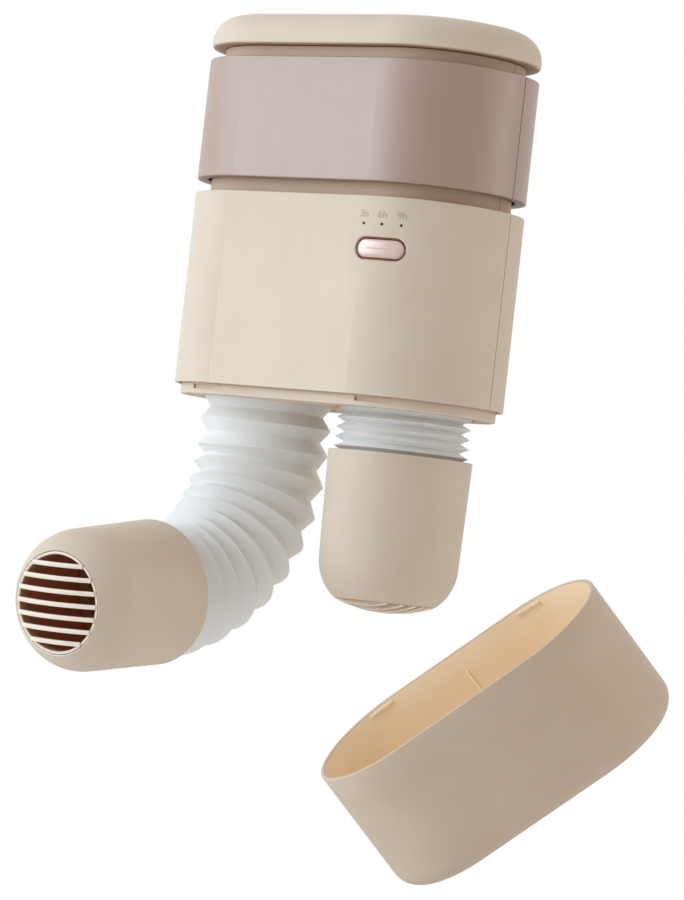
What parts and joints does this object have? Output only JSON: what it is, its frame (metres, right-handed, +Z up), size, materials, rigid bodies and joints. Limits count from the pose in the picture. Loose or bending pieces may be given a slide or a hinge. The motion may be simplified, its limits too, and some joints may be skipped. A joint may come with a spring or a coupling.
{
  "type": "boot dryer",
  "caption": "Handheld boot dryer: rounded body with band, cap and push button, bellows hoses with slatted nozzles that extend and bend, and a cup-shaped cover.",
  "frame": {"origin": "centre of the lower casing's bottom edge, midway between the hoses", "axes": "+Z up along the body towards the cap, -Y out of the front with the button, +X to the right seen from the front"},
  "size_m": [0.167, 0.3539, 0.3545],
  "materials": {
    "shell_cream": "satin, fine moulded texture",
    "cap_cream": "satin",
    "band_brown": "satin with a pink-brown tint",
    "plate_cream": "satin",
    "screw_steel": "zinc plated",
    "button_rose": "polished rose metal",
    "bezel_copper": "copper-coloured metal",
    "lens_dark": "smoked light pipe",
    "board_green": "coated board",
    "switch_black": "plain",
    "duct_white": "plain",
    "heater_mica": "heat-proof board",
    "heater_fins": "plain fins",
    "cutout_steel": "plain",
    "fan_black": "plain",
    "motor_steel": "plain",
    "impeller_grey": "plain",
    "gland_rubber": "soft",
    "collar_plastic": "plain",
    "hose_white": "soft translucent folded wall",
    "nozzle_cream": "satin, fine moulded texture",
    "grille_cream": "satin",
    "cup_cream": "satin outside, warm inside"
  },
  "bodies": {
    "body": {"front_shell": "shell_cream", "rear_shell": "shell_cream", "band_front": "band_brown", "band_rear": "band_brown", "top_cap": "cap_cream", "base_plate": "plate_cream", "base_screw_1": "screw_steel", "base_screw_2": "screw_steel", "base_screw_3": "screw_steel", "base_screw_4": "screw_steel", "button_bezel": "bezel_copper", "indicator_lens_3h": "lens_dark", "indicator_lens_6h": "lens_dark", "indicator_lens_9h": "lens_dark", "control_board": "board_green", "push_switch": "switch_black", "power_board": "board_green", "air_duct": "duct_white", "heater_frame": "heater_mica", "heater_core": "heater_fins", "thermal_cutout": "cutout_steel", "fan_housing": "fan_black", "motor": "motor_steel", "cord_gland": "gland_rubber", "left_hose_collar": "collar_plastic", "right_hose_collar": "collar_plastic", "left_bellows_top": "hose_white", "right_bellows_top": "hose_white"},
    "button": {"button": "button_rose"},
    "impeller": {"impeller": "impeller_grey"},
    "left_link_1": {"left_bellows_upper": "hose_white"},
    "left_link_2": {"left_bellows_middle": "hose_white"},
    "left_link_3": {"left_bellows_lower": "hose_white"},
    "left_nozzle": {"left_nozzle": "nozzle_cream", "left_outlet_grille": "grille_cream", "left_nozzle_collar": "collar_plastic", "left_bellows_end": "hose_white"},
    "right_link": {"right_bellows_neck": "hose_white"},
    "right_nozzle": {"right_nozzle": "nozzle_cream", "right_outlet_grille": "grille_cream", "right_nozzle_collar": "collar_plastic", "right_bellows_lower": "hose_white"},
    "cup": {"cup_cover": "cup_cream"}
  },
  "joints": [
    {"name": "left_extend", "type": "slide", "parent": "body", "child": "left_link_1", "axis": [0, 0, -1], "range_m": [-0.02, 0.004], "deforming": ["left_bellows_top"]},
    {"name": "left_bend_1", "type": "hinge", "parent": "left_link_1", "child": "left_link_2", "pos_m": [-0.035, 0, -0.03939], "axis": [-0.9987, 0.0506, 0], "range_deg": [-27.2, 2.8], "deforming": ["left_bellows_upper"]},
    {"name": "left_bend_2", "type": "hinge", "parent": "left_link_2", "child": "left_link_3", "pos_m": [-0.0357, -0.01381, -0.06599], "axis": [-0.9987, 0.0506, 0], "range_deg": [-27.3, 2.9], "deforming": ["left_bellows_middle"]},
    {"name": "left_bend_3", "type": "hinge", "parent": "left_link_3", "child": "left_nozzle", "pos_m": [-0.03694, -0.03831, -0.08321], "axis": [-1, 0.007, 0], "range_deg": [-27.3, 2.9], "deforming": ["left_bellows_lower"]},
    {"name": "right_bend", "type": "hinge", "parent": "body", "child": "right_link", "pos_m": [0.035, 0, -0.01394], "axis": [-1, 0, 0], "range_deg": [-10, 25], "deforming": ["right_bellows_neck"]},
    {"name": "right_extend", "type": "slide", "parent": "right_link", "child": "right_nozzle", "axis": [0, 0, -1], "range_m": [-0.006, 0.06], "deforming": ["right_bellows_lower"]},
    {"name": "button_press", "type": "slide", "parent": "body", "child": "button", "axis": [-0.2351, 0.972, 0], "range_m": [0, 0.0012], "stiffness_N_per_m": 400, "springref_m": -0.0005},
    {"name": "impeller_spin", "type": "hinge", "parent": "body", "child": "impeller", "pos_m": [0, 0, 0.059], "axis": [0, 0, 1], "continuous": true},
    {"name": "cup_lift", "type": "slide", "parent": "body", "child": "cup", "axis": [-0.3989, -0.5787, 0.7113], "range_m": [0, 0.08]}
  ],
  "couplings": [
    {"joint": "left_bend_2", "follows": "left_bend_1", "ratio": 1},
    {"joint": "left_bend_3", "follows": "left_bend_1", "ratio": 1}
  ]
}
